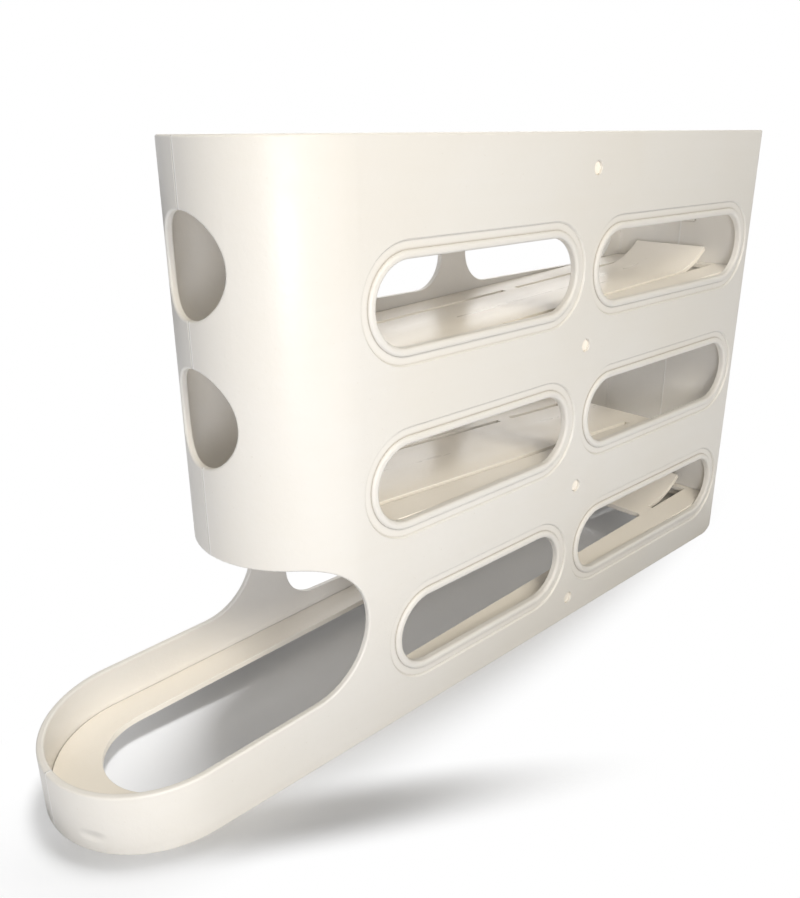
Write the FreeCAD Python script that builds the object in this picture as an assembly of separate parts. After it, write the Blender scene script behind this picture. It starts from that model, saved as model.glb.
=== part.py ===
import FreeCAD, Part
import math
import os

from FreeCAD import Vector

# Rolling egg dispenser: two half casings that meet on the middle plane, and four sloping tracks between them.
# X runs from the tray at the front (-X) to the rear (+X), Y across, Z up from the base. Millimetres.

# Casing
overall_length = 341.0
shell_width = 72.0
shell_height = 200.0
tray_reach = 62.0
wall = 2.4
rear_edge_round = 3.5
rear_heel_round = 10.0
rim_round = 0.8
edge_round = 0.7
inner_corner_round = 1.1

# Tray rim and the opening above it
tray_rim_front = 20.5
tray_rim_rear = 24.0
opening_setback = 1.0
nose_lip_drop = 3.3

# Tracks
track_count = 4
track_slope = 0.042
track_thickness = 2.2
track_skirt = 5.5
track_skirt_thickness = 1.8
track_gap = 0.3
track_corner_round = 3.0
track_pocket_round = 1.2
track_foot_gap = 0.7
track_rim_cover = 0.9
drop_gap = 50.0
strip_half_width = 18.5
slit_width = 2.6
slit_end_margin = 14.0
slit_bridge = 8.0
slit_bridge_offset = 20.0
rail_opening_margin = 16.0
tongue_run = 27.0
tongue_rise = 10.0
tongue_tip_gap = 8.0
tongue_root = 10.0
tongue_bar = 3.0

# Pegs and their holes, one column at mid length
peg_column_share = 0.54
peg_hole_radius = 2.6
peg_clearance = 0.05
peg_recess = 0.8
peg_chamfer = 0.4
peg_drop_outer = 5.3
peg_drop_inner = 11.7
ear_radius = 5.0

# Framed slots in the side walls
slot_height = 27.2
slot_lift = 17.2
slot_front_inset = 42.2
slot_low_front_inset = 52.1
slot_post_front = 9.6
slot_post_rear = 5.2
slot_rear_margin = 11.0
frame_margin = 6.0
frame_depth = 0.8
frame_draft = 0.5
bead_width = 2.8
bead_proud = 0.4
bead_round = 1.1
bead_seat = 0.5

# Round windows in the nose
window_radius = 15.8
upper_window_lift = 30.6
lower_window_lift = 43.5

# Seam, locating tabs and ledges
seam_groove_depth = 0.35
seam_groove_half_width = 0.2
tab_thickness = 1.6
tab_gap = 0.2
tab_root = 8.0
tab_reach = 4.0
tab_height = 10.0
tab_window_gap = 2.0
tray_tab_height = 6.5
tray_tab_lift = 1.4
ledge_depth = 3.0
ledge_thickness = 2.4
ledge_length = 14.0
ledge_gap = 0.2
ledge_front_reach = 80.0
ledge_rear_reach = 55.0

# One overrun for all cuts, one tolerance for finding edges, and how much of a wall a rounding may take
overrun = 10.0
touch = 0.005
round_limit_share = 0.45
diagonal_share = math.sqrt(0.5)

# Places that follow from the sizes above
half_width = shell_width / 2
inner_half = half_width - wall
tray_tip = -overall_length / 2
rear = overall_length / 2
nose_tip = tray_tip + tray_reach
tray_inner = tray_tip + wall
nose_inner = nose_tip + wall
rear_inner = rear - wall
peg_x = nose_tip + peg_column_share * (rear - nose_tip)

track_half = inner_half - track_gap
strip_window_half = strip_half_width + slit_width
bottom_floor = track_foot_gap + track_skirt + track_slope * (peg_x - tray_inner)
top_floor = shell_height - track_rim_cover - track_slope * (peg_x - nose_inner)
tier_pitch = (top_floor - bottom_floor) / (track_count - 1)
third_floor = bottom_floor + tier_pitch
second_floor = third_floor + tier_pitch

opening_top = third_floor - nose_lip_drop
opening_radius = (opening_top - tray_rim_rear) / 2
opening_z = tray_rim_rear + opening_radius
opening_x = nose_tip + half_width + opening_setback - opening_radius

upper_window_z = second_floor + upper_window_lift
lower_window_z = third_floor + lower_window_lift

# A track falls to the front (1) or to the rear (-1)
to_front = 1
to_rear = -1


def box(x0, x1, y0, y1, z0, z1):
    return Part.makeBox(x1 - x0, y1 - y0, z1 - z0, Vector(x0, y0, z0))


def line(start, end):
    return Part.LineSegment(start, end).toShape()


def arc(start, middle, end):
    return Part.Arc(start, middle, end).toShape()


def rod_across(x, z, radius, y0, y1):
    return Part.makeCylinder(radius, y1 - y0, Vector(x, y0, z), Vector(0, 1, 0))


# Plan outline with a half-round front end, straight sides and rounded rear corners
def round_front_plan(front, back, half, corner, z0, z1):
    centre = front + half
    bend = corner * (1 - diagonal_share)
    edges = [
        line(Vector(back - corner, -half, z0), Vector(centre, -half, z0)),
        arc(Vector(centre, -half, z0), Vector(front, 0, z0), Vector(centre, half, z0)),
        line(Vector(centre, half, z0), Vector(back - corner, half, z0)),
        arc(Vector(back - corner, half, z0), Vector(back - bend, half - bend, z0), Vector(back, half - corner, z0)),
        line(Vector(back, half - corner, z0), Vector(back, corner - half, z0)),
        arc(Vector(back, corner - half, z0), Vector(back - bend, bend - half, z0), Vector(back - corner, -half, z0)),
    ]
    return Part.Face(Part.Wire(edges)).extrude(Vector(0, 0, z1 - z0))


# Plan outline of a rectangle with rounded corners, for a track that stops short of the nose
def square_front_plan(front, back, half, corner, z0, z1):
    places = [Vector(back, -half, z0), Vector(back, half, z0), Vector(front, half, z0), Vector(front, -half, z0)]
    bend = corner * (1 - diagonal_share)
    edges = []
    for index, place in enumerate(places):
        following = places[(index + 1) % len(places)]
        before = (places[index - 1] - place).normalize()
        after = (following - place).normalize()
        edges.append(arc(place + before * corner, place + (before + after) * bend, place + after * corner))
        edges.append(line(place + after * corner, following - after * corner))
    return Part.Face(Part.Wire(edges)).extrude(Vector(0, 0, z1 - z0))


# Outline with straight sides and half-round ends, on a plane across the part
def stadium(x0, x1, z, radius, y):
    a = x0 + radius
    b = x1 - radius
    return Part.Wire([
        line(Vector(a, y, z + radius), Vector(b, y, z + radius)),
        arc(Vector(b, y, z + radius), Vector(x1, y, z), Vector(b, y, z - radius)),
        line(Vector(b, y, z - radius), Vector(a, y, z - radius)),
        arc(Vector(a, y, z - radius), Vector(x0, y, z), Vector(a, y, z + radius)),
    ])


# Below the middle of the opening the casing reaches out as the tray, above it the nose stands back
def casing_block(inset, corner, z0, z1):
    half = half_width - inset
    tray = round_front_plan(tray_tip + inset, rear - inset, half, corner, z0, opening_z)
    body = round_front_plan(nose_tip + inset, rear - inset, half, corner, opening_z, z1)
    return tray.fuse(body).removeSplitter()


# Side outline of the casing, whose rear wall turns in at the foot with a rounded heel
def heel_block(back, foot, radius):
    y = -half_width
    far = tray_tip - overrun
    top = shell_height + overrun
    bend = radius * (1 - diagonal_share)
    low = Vector(back - radius, y, foot)
    high = Vector(back, y, foot + radius)
    edges = [
        line(Vector(far, y, foot), low),
        arc(low, Vector(back - bend, y, foot + bend), high),
        line(high, Vector(back, y, top)),
        line(Vector(back, y, top), Vector(far, y, top)),
        line(Vector(far, y, top), Vector(far, y, foot)),
    ]
    return Part.Face(Part.Wire(edges)).extrude(Vector(0, shell_width, 0))


# Opening over the tray: the rim rises in a straight line that runs into the round end
def opening_cutter():
    y = -half_width - overrun
    dx = opening_x - tray_tip
    dz = opening_z - tray_rim_front
    angle = math.atan2(dz, dx) - math.asin(opening_radius / math.hypot(dx, dz))
    far = tray_tip - overrun
    low = Vector(far, y, tray_rim_front - overrun * math.tan(angle))
    high = Vector(far, y, opening_top)
    rim_end = Vector(opening_x + opening_radius * math.sin(angle), y, opening_z - opening_radius * math.cos(angle))
    lip_end = Vector(opening_x, y, opening_top)
    edges = [
        line(low, rim_end),
        arc(rim_end, Vector(opening_x + opening_radius, y, opening_z), lip_end),
        line(lip_end, high),
        line(high, low),
    ]
    return Part.Face(Part.Wire(edges)).extrude(Vector(0, shell_width + 2 * overrun, 0))


def window_cutter(z):
    return Part.makeCylinder(window_radius, half_width + overrun, Vector(nose_tip - overrun, 0, z), Vector(1, 0, 0))


# Edges that a cutter leaves on the two faces of the wall
def cut_edges(shape, cutter):
    skin = Part.Compound(cutter.Faces)
    found = []
    for edge in shape.Edges:
        middle = edge.valueAt((edge.FirstParameter + edge.LastParameter) / 2)
        bounds = edge.BoundBox
        on_seam = abs(middle.y) < seam_groove_half_width
        across = bounds.XLength < touch and bounds.ZLength < touch
        if not on_seam and not across and skin.distToShape(Part.Vertex(middle))[0] < touch:
            found.append(edge)
    return found


def cut_and_round(shape, cutter):
    shape = shape.cut(cutter)
    return shape.makeFillet(min(edge_round, wall * round_limit_share), cut_edges(shape, cutter))


def slot_places():
    places = []
    for floor, front_inset in (
        (second_floor, slot_front_inset),
        (third_floor, slot_front_inset),
        (bottom_floor, slot_low_front_inset),
    ):
        z = floor + slot_lift
        places.append((nose_tip + front_inset, peg_x - slot_post_front, z))
        places.append((peg_x + slot_post_rear, rear - slot_rear_margin, z))
    return places


def slot_cutter(x0, x1, z):
    face = Part.Face(stadium(x0, x1, z, slot_height / 2, -half_width - overrun))
    return face.extrude(Vector(0, wall + 2 * overrun, 0))


# Sunk band round a slot, with sloping sides
def frame_cutter(x0, x1, z):
    radius = slot_height / 2
    foot = frame_margin - frame_draft
    outer = stadium(x0 - frame_margin, x1 + frame_margin, z, radius + frame_margin, -half_width)
    inner = stadium(x0 - foot, x1 + foot, z, radius + foot, -half_width + frame_depth)
    return Part.makeLoft([outer, inner], True)


# Rounded bead that stands in the sunk band, round the slot's mouth
def frame_bead(x0, x1, z):
    seat = -half_width + frame_depth + bead_seat
    crest = -half_width - bead_proud
    outline = stadium(x0 - bead_width, x1 + bead_width, z, slot_height / 2 + bead_width, seat)
    ring = Part.Face(outline).extrude(Vector(0, crest - seat, 0)).cut(slot_cutter(x0, x1, z))
    crest_edges = [edge for edge in ring.Edges if abs(edge.CenterOfMass.y - crest) < touch]
    return ring.makeFillet(min(bead_round, bead_width * round_limit_share), crest_edges)


def floor_at(floor, fall, x):
    return floor + fall * track_slope * (x - peg_x)


# Band that follows a track's slope, between two depths below its floor
def sloped_band(floor, fall, x0, x1, upper, lower, y0, y1):
    z0 = floor_at(floor, fall, x0)
    z1 = floor_at(floor, fall, x1)
    corners = [
        Vector(x0, y0, z0 - lower),
        Vector(x1, y0, z1 - lower),
        Vector(x1, y0, z1 - upper),
        Vector(x0, y0, z0 - upper),
    ]
    return Part.Face(Part.makePolygon(corners + corners[:1])).extrude(Vector(0, y1 - y0, 0))


# Floor height, fall and peg drop of each track, from the top down
def track_list():
    return [
        (top_floor, to_rear, peg_drop_outer),
        (second_floor, to_front, peg_drop_inner),
        (third_floor, to_rear, peg_drop_inner),
        (bottom_floor, to_front, peg_drop_outer),
    ]


# Short ledges on the wall, under a track's skirt
def track_ledges(floor, fall):
    upper = track_skirt + ledge_gap
    ledges = []
    for x in (peg_x - ledge_front_reach, peg_x + ledge_rear_reach):
        ledges.append(sloped_band(floor, fall, x - ledge_length / 2, x + ledge_length / 2, upper,
                                  upper + ledge_thickness, -inner_half, ledge_depth - inner_half))
    return ledges


# Fine groove that marks the seam on the outside, half in each shell
def seam_groove():
    skin = casing_block(0, rear_edge_round, -overrun, shell_height + overrun)
    core = casing_block(seam_groove_depth, rear_edge_round, -overrun, shell_height + overrun)
    strip = box(tray_tip - overrun, rear + overrun, -seam_groove_half_width, seam_groove_half_width,
                -overrun, shell_height + overrun)
    return skin.cut(core).common(strip)


# Plain half casing on the -Y side: open at the top and at the foot, closed at the rear heel
def bare_half():
    outer = casing_block(0, rear_edge_round, 0, shell_height)
    outer = outer.common(heel_block(rear, 0, rear_heel_round))
    hollow = casing_block(wall, inner_corner_round, -overrun, shell_height + overrun)
    well = box(tray_tip, rear - rear_heel_round, -half_width, half_width, -overrun, shell_height)
    hollow = hollow.common(heel_block(rear_inner, wall, rear_heel_round - wall).fuse(well))
    near = box(tray_tip - overrun, rear + overrun, -half_width - overrun, 0, -overrun, shell_height + overrun)
    half = outer.cut(hollow).common(near)
    rim = [edge for edge in half.Edges
           if edge.BoundBox.ZMin > shell_height - rim_round and abs(edge.CenterOfMass.y) > rim_round]
    return half.makeFillet(min(rim_round, wall * round_limit_share), rim)


def half_shell():
    shell = cut_and_round(bare_half(), opening_cutter())
    for z in (upper_window_z, lower_window_z):
        shell = cut_and_round(shell, window_cutter(z))
    for x0, x1, z in slot_places():
        shell = shell.cut(frame_cutter(x0, x1, z)).fuse(frame_bead(x0, x1, z)).cut(slot_cutter(x0, x1, z))
    for floor, fall, drop in track_list():
        hole = rod_across(peg_x, floor - drop, peg_hole_radius, -half_width - overrun, overrun - inner_half)
        shell = shell.cut(hole)
        for ledge in track_ledges(floor, fall):
            shell = shell.fuse(ledge)
    return shell.cut(seam_groove()).removeSplitter()


# Tabs on one half that reach just inside the other half's wall, across the seam
def seam_tabs():
    deep = wall + tab_gap + tab_thickness
    core = casing_block(deep, inner_corner_round, 0, shell_height)
    root_ring = casing_block(wall, inner_corner_round, 0, shell_height).cut(core)
    tip_ring = casing_block(wall + tab_gap, inner_corner_round, 0, shell_height).cut(core)
    beside_window = window_radius + tab_window_gap + tab_height / 2
    tray_tab_z = floor_at(bottom_floor, to_front, tray_tip) + tray_tab_lift + tray_tab_height / 2
    places = [
        (nose_tip, upper_window_z + beside_window, tab_height),
        (nose_tip, (upper_window_z + lower_window_z) / 2, tab_height),
        (nose_tip, lower_window_z - beside_window, tab_height),
        (tray_tip, tray_tab_z, tray_tab_height),
        (rear - half_width, (top_floor + second_floor) / 2, tab_height),
        (rear - half_width, (second_floor + third_floor) / 2, tab_height),
        (rear - half_width, (third_floor + bottom_floor) / 2, tab_height),
    ]
    tabs = []
    for x, z, height in places:
        z0 = z - height / 2
        root = root_ring.common(box(x, x + half_width, -tab_root, 0, z0, z0 + height))
        tip = tip_ring.common(box(x, x + half_width, -tab_root, tab_reach, z0, z0 + height))
        tabs.append(root.fuse(tip).removeSplitter())
    return tabs


def right_shell():
    shell = half_shell()
    for tab in seam_tabs():
        shell = shell.fuse(tab)
    return shell.removeSplitter()


def left_shell():
    return half_shell().mirror(Vector(0, 0, 0), Vector(0, 1, 0))


# Plate with a skirt all round, cut to its plan
def track_plate(plan, floor, fall, front, back):
    low = floor - shell_height
    high = floor + shell_height
    x0 = front - overrun
    x1 = back + overrun
    inset = track_skirt_thickness
    outline = plan(front, back, track_half, track_corner_round, low, high)
    pocket = plan(front + inset, back - inset, track_half - inset, track_pocket_round, low, high)
    band = sloped_band(floor, fall, x0, x1, 0, track_skirt, -half_width, half_width)
    under = sloped_band(floor, fall, x0, x1, track_thickness, track_skirt + overrun, -half_width, half_width)
    return outline.common(band).cut(pocket.common(under))


# Ears on the skirts with the pegs that snap into the shells
def peg_ears(floor, drop):
    z = floor - drop
    ears = []
    for side in (-1, 1):
        inner = side * (track_half - track_skirt_thickness)
        outer = side * track_half
        end = side * (half_width - peg_recess)
        y0, y1 = sorted((inner, outer))
        ear = rod_across(peg_x, z, ear_radius, y0, y1)
        ear = ear.fuse(box(peg_x - ear_radius, peg_x + ear_radius, y0, y1, z, floor - track_thickness / 2))
        peg = Part.makeCylinder(peg_hole_radius - peg_clearance, abs(end - inner), Vector(peg_x, inner, z),
                                Vector(0, side, 0))
        rim = [edge for edge in peg.Edges if abs(edge.CenterOfMass.y - end) < touch]
        ears.append(ear.fuse(peg.makeChamfer(peg_chamfer, rim)))
    return ears


# Upturned tongue at a landing end: an arc that leaves the floor at its root and rises towards the end wall
def landing_tongue(floor, fall, root_x, ahead):
    radius = (tongue_run ** 2 + tongue_rise ** 2) / (2 * tongue_rise)
    turn = math.asin(tongue_run / radius)
    centre_z = floor_at(floor, fall, root_x) + radius
    under = radius + track_thickness

    def place(angle, reach):
        return Vector(root_x + ahead * reach * math.sin(angle), -strip_half_width, centre_z - reach * math.cos(angle))

    edges = [
        arc(place(0, radius), place(turn / 2, radius), place(turn, radius)),
        line(place(turn, radius), place(turn, under)),
        arc(place(turn, under), place(turn / 2, under), place(0, under)),
        line(place(0, under), place(0, radius)),
    ]
    return Part.Face(Part.Wire(edges)).extrude(Vector(0, 2 * strip_half_width, 0))


# The floor is open round and under the tongue, with a bar left at the track's end
def tongue_window(plan, floor, front, back, root_x, ahead):
    low = floor - shell_height
    high = floor + shell_height
    x0, x1 = sorted((root_x, root_x + ahead * (tongue_run + tongue_tip_gap)))
    inside = plan(front + tongue_bar, back - tongue_bar, track_half - tongue_bar, track_pocket_round, low, high)
    return inside.common(box(x0, x1, -strip_window_half, strip_window_half, low, high))


# Narrow slits that part the rolling strip from the side ledges, with a bridge in between
def slit_cutters(floor, x0, x1):
    bridge = peg_x + slit_bridge_offset
    cutters = []
    for a, b in ((x0, bridge - slit_bridge / 2), (bridge + slit_bridge / 2, x1)):
        for y in (-strip_half_width - slit_width, strip_half_width):
            cutters.append(box(a, b, y, y + slit_width, floor - shell_height, floor + shell_height))
    return cutters


def landing_root(wall_x, ahead):
    return wall_x - ahead * (tongue_tip_gap + tongue_run)


def plain_track(plan, floor, fall, drop, front, back):
    track = track_plate(plan, floor, fall, front, back)
    for ear in peg_ears(floor, drop):
        track = track.fuse(ear)
    return track


def landing_track(plan, floor, fall, drop, front, back, root_x, ahead):
    track = plain_track(plan, floor, fall, drop, front, back)
    track = track.cut(tongue_window(plan, floor, front, back, root_x, ahead))
    return track.fuse(landing_tongue(floor, fall, root_x, ahead))


def slit(track, floor, x0, x1):
    for cutter in slit_cutters(floor, x0, x1):
        track = track.cut(cutter)
    return track.removeSplitter()


def top_track():
    front = nose_inner + track_gap
    back = rear_inner - drop_gap
    track = plain_track(round_front_plan, top_floor, to_rear, peg_drop_outer, front, back)
    return slit(track, top_floor, front + slit_end_margin, back - slit_end_margin)


def second_track():
    front = nose_inner + drop_gap
    back = rear_inner - track_gap
    root_x = landing_root(rear_inner, 1)
    track = landing_track(square_front_plan, second_floor, to_front, peg_drop_inner, front, back, root_x, 1)
    return slit(track, second_floor, front + slit_end_margin, root_x)


def third_track():
    front = nose_inner + track_gap
    back = rear_inner - drop_gap
    root_x = landing_root(nose_inner, -1)
    track = landing_track(round_front_plan, third_floor, to_rear, peg_drop_inner, front, back, root_x, -1)
    return slit(track, third_floor, root_x, back - slit_end_margin)


# Two rails with the rolling strip left out between them, round at the tray end
def bottom_track():
    front = tray_inner + track_gap
    back = rear_inner - track_gap
    root_x = landing_root(rear_inner, 1)
    track = landing_track(round_front_plan, bottom_floor, to_front, peg_drop_outer, front, back, root_x, 1)
    middle = round_front_plan(front + rail_opening_margin, root_x - tongue_root, strip_window_half,
                              track_corner_round, bottom_floor - shell_height, bottom_floor + shell_height)
    return track.cut(middle).removeSplitter()


os.makedirs("parts", exist_ok=True)
for make in (right_shell, left_shell, top_track, second_track, third_track, bottom_track):
    piece = make()
    piece.exportStep("parts/" + make.__name__ + ".step")
    print(make.__name__, len(piece.Solids), "solid, valid", piece.isValid(), round(piece.Volume), "mm3")
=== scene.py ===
import math

import bmesh
import bpy
from mathutils import Matrix, Vector

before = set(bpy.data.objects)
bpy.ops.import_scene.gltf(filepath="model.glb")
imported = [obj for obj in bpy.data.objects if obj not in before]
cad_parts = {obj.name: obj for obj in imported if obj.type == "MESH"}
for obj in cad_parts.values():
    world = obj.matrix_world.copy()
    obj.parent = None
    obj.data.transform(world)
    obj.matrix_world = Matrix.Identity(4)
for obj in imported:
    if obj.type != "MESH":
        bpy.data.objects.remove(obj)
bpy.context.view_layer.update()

scene = bpy.context.scene
scene.view_settings.view_transform = "Standard"
print("frame loaded:", len(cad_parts), "nodes")


# one output of a shader node, so that shader maths reads as plain sums
class Wire:
    def __init__(self, paint, socket):
        self.paint = paint
        self.socket = socket

    def join(self, operation, left, right):
        return self.paint.node("Math", {"operation": operation}, {0: left, 1: right})

    def __add__(self, other):
        return self.join("ADD", self, other)

    def __radd__(self, other):
        return self.join("ADD", other, self)

    def __sub__(self, other):
        return self.join("SUBTRACT", self, other)

    def __rsub__(self, other):
        return self.join("SUBTRACT", other, self)

    def __mul__(self, other):
        return self.join("MULTIPLY", self, other)

    def __rmul__(self, other):
        return self.join("MULTIPLY", other, self)

    def __abs__(self):
        return self.paint.node("Math", {"operation": "ABSOLUTE"}, {0: self})


# the node tree of one material, or of the world
class Paint:
    def __init__(self, owner, end="OutputMaterial"):
        owner.use_nodes = True
        self.owner = owner
        self.tree = owner.node_tree
        self.tree.nodes.clear()
        self.end = self.tree.nodes.new("ShaderNode" + end)

    # settings are set first, then the values or links of the sockets
    def node(self, kind, settings=None, sockets=None, output=0):
        made = self.tree.nodes.new("ShaderNode" + kind)
        for name, value in (settings or {}).items():
            setattr(made, name, value)
        for name, value in (sockets or {}).items():
            socket = self.pick(made.inputs, name)
            if isinstance(value, Wire):
                self.tree.links.new(value.socket, socket)
            else:
                socket.default_value = value
        return Wire(self, self.pick(made.outputs, output))

    # a Mix node has several sockets of one name, and only those in use count
    def pick(self, sockets, name):
        if isinstance(name, int):
            return sockets[name]
        return next(socket for socket in sockets if socket.name == name and socket.enabled)

    def place(self):
        return self.node("TexCoord", output="Object")

    def stretch(self, where, scale):
        return self.node("Mapping", {}, {"Vector": where, "Scale": scale})

    def noise(self, where, scale, detail=2.0, roughness=0.5):
        return self.node("TexNoise", {}, {
            "Vector": where, "Scale": scale, "Detail": detail, "Roughness": roughness})

    # 0 up to low, 1 from high on, and smooth between them
    def between(self, value, low, high):
        return self.node("MapRange", {"interpolation_type": "SMOOTHSTEP"}, {
            "Value": value, "From Min": low, "From Max": high})

    def tint(self, share, first, second):
        return self.node("Mix", {"data_type": "RGBA"}, {
            "Factor": share, "A": first, "B": second}, "Result")

    # distance from a point, 1 at the surface of an ellipsoid round it
    def reach(self, where, at, turn, size):
        local = self.node("Mapping", {"vector_type": "TEXTURE"}, {
            "Vector": where, "Location": at, "Rotation": turn, "Scale": size})
        return self.node("VectorMath", {"operation": "LENGTH"}, {0: local}, "Value")

    def bump(self, height, depth, normal):
        return self.node("Bump", {}, {
            "Strength": 1.0, "Distance": depth, "Height": height, "Normal": normal})

    def finish(self, shader):
        self.tree.links.new(shader.socket, self.end.inputs["Surface"])
        return self.owner


# camera at the photograph's place: metres and degrees, focal length in pixels of the 800 x 898 frame
cameraLook = {
    "at": (-0.2310, -0.2231, 0.20038),
    "yaw": 42.915,
    "pitch": 20.551,
    "roll": 0.372,
    "focalPixels": 847.5,
    "longSidePixels": 898,
    "sensor": 36.0,
    "clipStart": 0.01,
}


def photoCamera(look):
    yaw, pitch, roll = (math.radians(look[turn]) for turn in ("yaw", "pitch", "roll"))
    ahead = Vector((math.sin(yaw) * math.cos(pitch), math.cos(yaw) * math.cos(pitch), -math.sin(pitch)))
    right = Matrix.Rotation(roll, 3, ahead) @ Vector((math.cos(yaw), -math.sin(yaw), 0))
    up = right.cross(ahead)
    data = bpy.data.cameras.new("photoCamera")
    data.sensor_width = look["sensor"]
    data.lens = look["sensor"] * look["focalPixels"] / look["longSidePixels"]
    data.clip_start = look["clipStart"]
    camera = bpy.data.objects.new("photoCamera", data)
    facing = Matrix((right, up, -ahead)).transposed().to_4x4()
    camera.matrix_world = Matrix.Translation(look["at"]) @ facing
    scene.collection.objects.link(camera)
    scene.camera = camera


photoCamera(cameraLook)
print("camera set")

# warm white moulded plastic: lengths in metres, scales in features per metre
# Range is where a mask starts and is full, Share how much colour it brings, Dull and Polish its roughness
plasticLook = {
    "white": (0.864, 0.842, 0.806, 1),
    "cream": (0.848, 0.816, 0.762, 1),
    "roughness": 0.36,
    "ior": 1.49,

    # painted highlight: a lighter colour on the bevelled edges; edgePolish makes them smoother as well
    "edge": (0.950, 0.932, 0.895, 1),
    "edgeRadius": 0.0004,
    "edgeSamples": 6,
    "edgeRange": (0.02, 0.30),
    "edgeShare": 0.9,
    "edgePolish": 0.05,

    # painted shade: a darker colour in the concave corners that ambient occlusion finds; creviceDull
    # makes them rougher
    "creviceShade": (0.480, 0.440, 0.385, 1),
    "creviceReach": 0.0010,
    "creviceSamples": 8,
    "creviceRange": (0.50, 0.98),
    "creviceShare": 0.9,
    "creviceDull": 0.15,

    "cloudScale": 16.0,
    "cloudRange": (0.30, 0.70),
    "cloudShare": 0.8,

    "speck": (0.600, 0.520, 0.410, 1),
    "speckScale": 1400.0,
    "speckRange": (0.76, 0.82),
    "speckShare": 0.3,

    "smudgeScale": 34.0,
    "smudgeRange": (0.45, 0.75),
    "smudgeDull": 0.10,

    "flowScale": (9.0, 240.0, 240.0),
    "flowShare": 0.6,
    "flowDull": 0.06,

    "scuff": (0.760, 0.725, 0.665, 1),
    "footHeight": 0.005,
    "footRange": (0.40, 0.62),
    "footShare": 0.4,
    "footDull": 0.2,

    "peelScale": 520.0,
    "peelDepth": 0.000065,
    "grainScale": 2600.0,
    "grainDepth": 0.000014,
}


# colour, roughness and normal that all the mouldings share
def mouldedPlastic(paint, place, look):
    height = paint.node("SeparateXYZ", {}, {"Vector": place}, "Z")
    flat = paint.node("NewGeometry", output="Normal")
    normal = paint.node("Bevel", {"samples": look["edgeSamples"]}, {"Radius": look["edgeRadius"]})
    turned = 1 - paint.node("VectorMath", {"operation": "DOT_PRODUCT"}, {0: flat, 1: normal}, "Value")
    # ambient occlusion finds the concave corners, where the painted shade goes
    bare = paint.node("AmbientOcclusion", {"samples": look["creviceSamples"], "only_local": True}, {
        "Distance": look["creviceReach"]}, "AO")
    crevice = 1 - paint.between(bare, *look["creviceRange"])
    # painted highlight mask on the edges, kept out of the concave corners; it also lowers the roughness
    # there
    edge = paint.between(turned, *look["edgeRange"]) * (1 - crevice)

    cloud = paint.between(paint.noise(place, look["cloudScale"], detail=3.0), *look["cloudRange"])
    speck = paint.between(paint.noise(place, look["speckScale"], detail=1.0), *look["speckRange"])
    smudge = paint.noise(place, look["smudgeScale"], detail=4.0, roughness=0.6)
    smudge = paint.between(smudge, *look["smudgeRange"])
    drawn = paint.noise(paint.stretch(place, look["flowScale"]), 1.0, detail=3.0)
    flow = drawn - 0.5  # marks along the casing, to either side of the noise's middle
    foot = (1 - paint.between(height, 0.0, look["footHeight"])) * paint.between(drawn, *look["footRange"])

    creamy = cloud * look["cloudShare"] + flow * look["flowShare"]
    colour = paint.tint(creamy, look["white"], look["cream"])
    colour = paint.tint(speck * look["speckShare"], colour, look["speck"])
    colour = paint.tint(foot * look["footShare"], colour, look["scuff"])
    # painted highlight along the edges
    colour = paint.tint(edge * look["edgeShare"], colour, look["edge"])
    # painted shade in the concave corners
    colour = paint.tint(crevice * look["creviceShare"], colour, look["creviceShade"])
    roughness = look["roughness"] + smudge * look["smudgeDull"] + foot * look["footDull"]
    roughness = roughness + flow * look["flowDull"]
    roughness = roughness - edge * look["edgePolish"] + crevice * look["creviceDull"]

    normal = paint.bump(paint.noise(place, look["peelScale"]), look["peelDepth"], normal)
    normal = paint.bump(paint.noise(place, look["grainScale"]), look["grainDepth"], normal)
    return colour, roughness, normal


def plasticSurface(paint, look, colour, roughness, normal):
    return paint.finish(paint.node("BsdfPrincipled", {}, {
        "Base Color": colour, "Roughness": roughness, "Normal": normal, "IOR": look["ior"]}))


# the two halves of the casing: a fine raised line where they meet, painted lighter as a highlight, and a
# sink mark low on the tray
shellLook = {
    **plasticLook,
    "seamHighlight": (0.970, 0.960, 0.945, 1),
    "seamAt": -0.0005,
    "seamHalfWidth": 0.0006,
    "seamHeight": 0.00008,
    "seamHighlightShare": 0.9,
    "sinkAt": (-0.1656, -0.0181, 0.0058),
    "sinkTurn": (0.0, 0.0, math.radians(-59.3)),
    "sinkSize": (0.0060, 0.0040, 0.0026),
    "sinkDepth": 0.0005,
}


def shellPlastic(look):
    paint = Paint(bpy.data.materials.new("shellPlastic"))
    place = paint.place()
    colour, roughness, normal = mouldedPlastic(paint, place, look)
    across = paint.node("SeparateXYZ", {}, {"Vector": place}, "Y")
    seam = 1 - paint.between(abs(across - look["seamAt"]), 0.0, look["seamHalfWidth"])
    # painted highlight: a lighter colour along the seam line
    colour = paint.tint(seam * look["seamHighlightShare"], colour, look["seamHighlight"])
    normal = paint.bump(seam, look["seamHeight"], normal)
    sink = paint.reach(place, look["sinkAt"], look["sinkTurn"], look["sinkSize"])
    normal = paint.bump(paint.between(sink, 0.0, 1.0), look["sinkDepth"], normal)
    return plasticSurface(paint, look, colour, roughness, normal)


# the four sloping tracks: the lane down the middle is rubbed smooth, with fine marks along it
trackLook = {
    **plasticLook,
    "white": (0.885, 0.845, 0.785, 1),
    "cream": (0.868, 0.820, 0.745, 1),
    "roughness": 0.38,
    "laneCore": 0.0068,  # half the width that is rubbed in full
    "laneHalfWidth": 0.017,
    "laneDepth": 0.000006,
    "lanePolish": 0.10,
    "markScale": (28.0, 1500.0, 300.0),
    "markRange": (0.52, 0.72),
    "markDull": 0.12,
}


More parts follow.
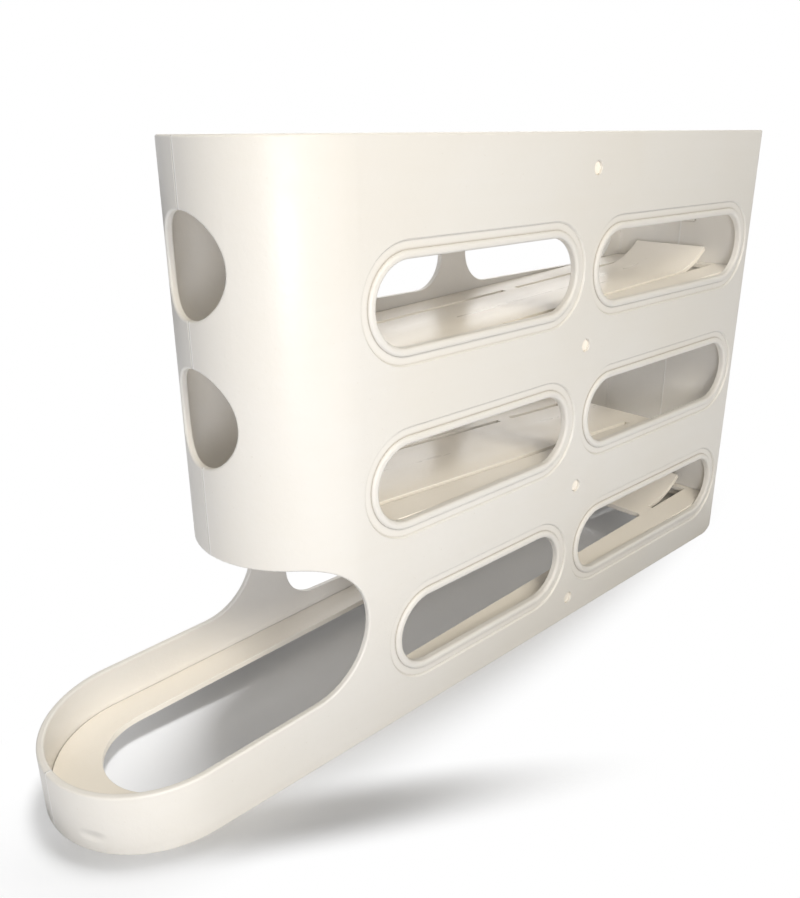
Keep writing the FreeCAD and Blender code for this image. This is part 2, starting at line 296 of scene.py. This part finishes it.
def trackPlastic(look):
    paint = Paint(bpy.data.materials.new("trackPlastic"))
    place = paint.place()
    colour, roughness, normal = mouldedPlastic(paint, place, look)
    across = paint.node("SeparateXYZ", {}, {"Vector": place}, "Y")
    lane = 1 - paint.between(abs(across), look["laneCore"], look["laneHalfWidth"])
    marks = paint.noise(paint.stretch(place, look["markScale"]), 1.0, detail=3.0)
    roughness = roughness - lane * look["lanePolish"]
    roughness = roughness + lane * paint.between(marks, *look["markRange"]) * look["markDull"]
    normal = paint.bump(lane * marks, look["laneDepth"], normal)
    return plasticSurface(paint, look, colour, roughness, normal)


shellFinish = shellPlastic(shellLook)
trackFinish = trackPlastic(trackLook)
tracks = [node for name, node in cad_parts.items() if name.endswith("track")]
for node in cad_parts.values():
    node.material_slots[0].material = trackFinish if node in tracks else shellFinish
print("plastic on", len(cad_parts), "nodes")

plainWhite = (1, 1, 1, 1)

# pale floor: white to the camera, with the object's shadow on it where one of two ellipses lets it show
# clearFrom and clearTo are where the shadow starts to fade and is gone, as shares of the ellipse's size
floorLook = {
    "radius": 4.0,
    "sides": 96,
    "colour": (0.90, 0.905, 0.915, 1),
    "glow": 0.10,
    "underCasing": {
        "at": (0.015, 0.010, 0.0),
        "turn": (0.0, 0.0, math.radians(4.0)),
        "size": (0.215, 0.054, 1.0),
        "clearFrom": 0.60,
        "clearTo": 1.30,
    },
    "besideTray": {
        "at": (-0.113, -0.050, 0.0),
        "turn": (0.0, 0.0, math.radians(-31.0)),
        "size": (0.105, 0.014, 1.0),
        "clearFrom": 0.20,
        "clearTo": 1.20,
    },
}


def paleFloor(look):
    shape = bmesh.new()
    bmesh.ops.create_circle(shape, cap_ends=True, segments=look["sides"], radius=look["radius"])
    mesh = bpy.data.meshes.new("paleFloor")
    shape.to_mesh(mesh)
    shape.free()
    floor = bpy.data.objects.new("paleFloor", mesh)
    scene.collection.objects.link(floor)
    paint = Paint(bpy.data.materials.new("paleFloor"))
    place = paint.place()
    seen = paint.node("LightPath", output="Is Camera Ray")
    clear = seen
    for shade in (look["underCasing"], look["besideTray"]):
        reach = paint.reach(place, shade["at"], shade["turn"], shade["size"])
        clear = clear * paint.between(reach, shade["clearFrom"], shade["clearTo"])
    matt = paint.node("BsdfDiffuse", {}, {"Color": look["colour"]})
    glow = paint.node("Emission", {}, {"Color": plainWhite, "Strength": look["glow"]})
    lifted = paint.node("AddShader", {}, {0: matt, 1: glow})
    shaded = paint.node("MixShader", {}, {0: seen, 1: matt, 2: lifted})
    white = paint.node("Emission", {}, {"Color": plainWhite, "Strength": 1.0})
    mesh.materials.append(paint.finish(paint.node("MixShader", {}, {0: clear, 1: shaded, 2: white})))
    return floor


floor = paleFloor(floorLook)

# white surroundings to the camera and in gloss, softer light on the object
skyLook = {"fill": 0.22, "tint": (1.0, 0.99, 0.97, 1)}


def softSky(look):
    scene.world = bpy.data.worlds.new("softSky")
    paint = Paint(scene.world, "OutputWorld")
    seen = paint.node("LightPath", output="Is Camera Ray")
    for ray in ("Is Glossy Ray", "Is Transmission Ray"):
        seen = seen + paint.node("LightPath", output=ray)
    fill = paint.node("Background", {}, {"Color": look["tint"], "Strength": look["fill"]})
    white = paint.node("Background", {}, {"Color": plainWhite, "Strength": 1.0})
    paint.finish(paint.node("MixShader", {}, {0: seen, 1: fill, 2: white}))


softSky(skyLook)

# lamps: where they stand, what they point at, size in metres and power in watts
# lights names the group that a lamp leaves out or is kept to, and None is a lamp that lights everything
lampLook = {
    "keyLamp": {
        "at": (-0.20, -0.54, 0.58), "to": (0.0, 0.0, 0.10), "size": 0.28,
        "power": 2.4, "tint": (1.0, 0.93, 0.78), "lights": ("EXCLUDE", "floor")},
    "frontLamp": {
        "at": (-0.29, -0.33, 0.15), "to": (-0.12, 0.0, 0.04), "size": 0.12,
        "power": 0.65, "tint": (0.95, 0.96, 1.0), "lights": ("EXCLUDE", "floor")},
    "backLamp": {
        "at": (0.50, 0.44, 0.54), "to": (0.05, 0.0, 0.08), "size": 0.70,
        "power": 1.7, "tint": (1.0, 0.98, 0.95), "lights": ("EXCLUDE", "floor")},
    "topLamp": {
        "at": (-0.02, 0.16, 0.78), "to": (0.0, 0.0, 0.0), "size": 0.20,
        "power": 0.5, "tint": (1.0, 0.99, 0.97), "lights": None},
    "slotLamp": {
        "at": (0.00, -0.48, 0.32), "to": (0.02, 0.0, 0.09), "size": 0.12,
        "power": 0.7, "tint": (1.0, 0.93, 0.80), "lights": ("INCLUDE", "tracks")},
    "floorLamp": {
        "at": (0.08, 0.14, 0.74), "to": (0.0, 0.0, 0.0), "size": 0.24,
        "power": 4.6, "tint": (1.0, 1.0, 1.0), "lights": ("INCLUDE", "floor")},
}


def softLamp(name, look, groups):
    data = bpy.data.lights.new(name, "AREA")
    data.shape = "DISK"
    data.size = look["size"]
    data.energy = look["power"]
    data.color = look["tint"]
    lamp = bpy.data.objects.new(name, data)
    lamp.location = look["at"]
    aim = Vector(look["to"]) - Vector(look["at"])
    lamp.rotation_euler = aim.to_track_quat("-Z", "Y").to_euler()
    scene.collection.objects.link(lamp)
    if look["lights"]:
        state, group = look["lights"]
        linked = bpy.data.collections.new(name + "Linked")
        for receiver in groups[group]:
            linked.objects.link(receiver)
        for row in linked.collection_objects:
            row.light_linking.link_state = state
        lamp.light_linking.receiver_collection = linked


lampGroups = {"floor": [floor], "tracks": tracks}
for name, look in lampLook.items():
    softLamp(name, look, lampGroups)
print("floor, sky and", len(lampLook), "lamps ready")
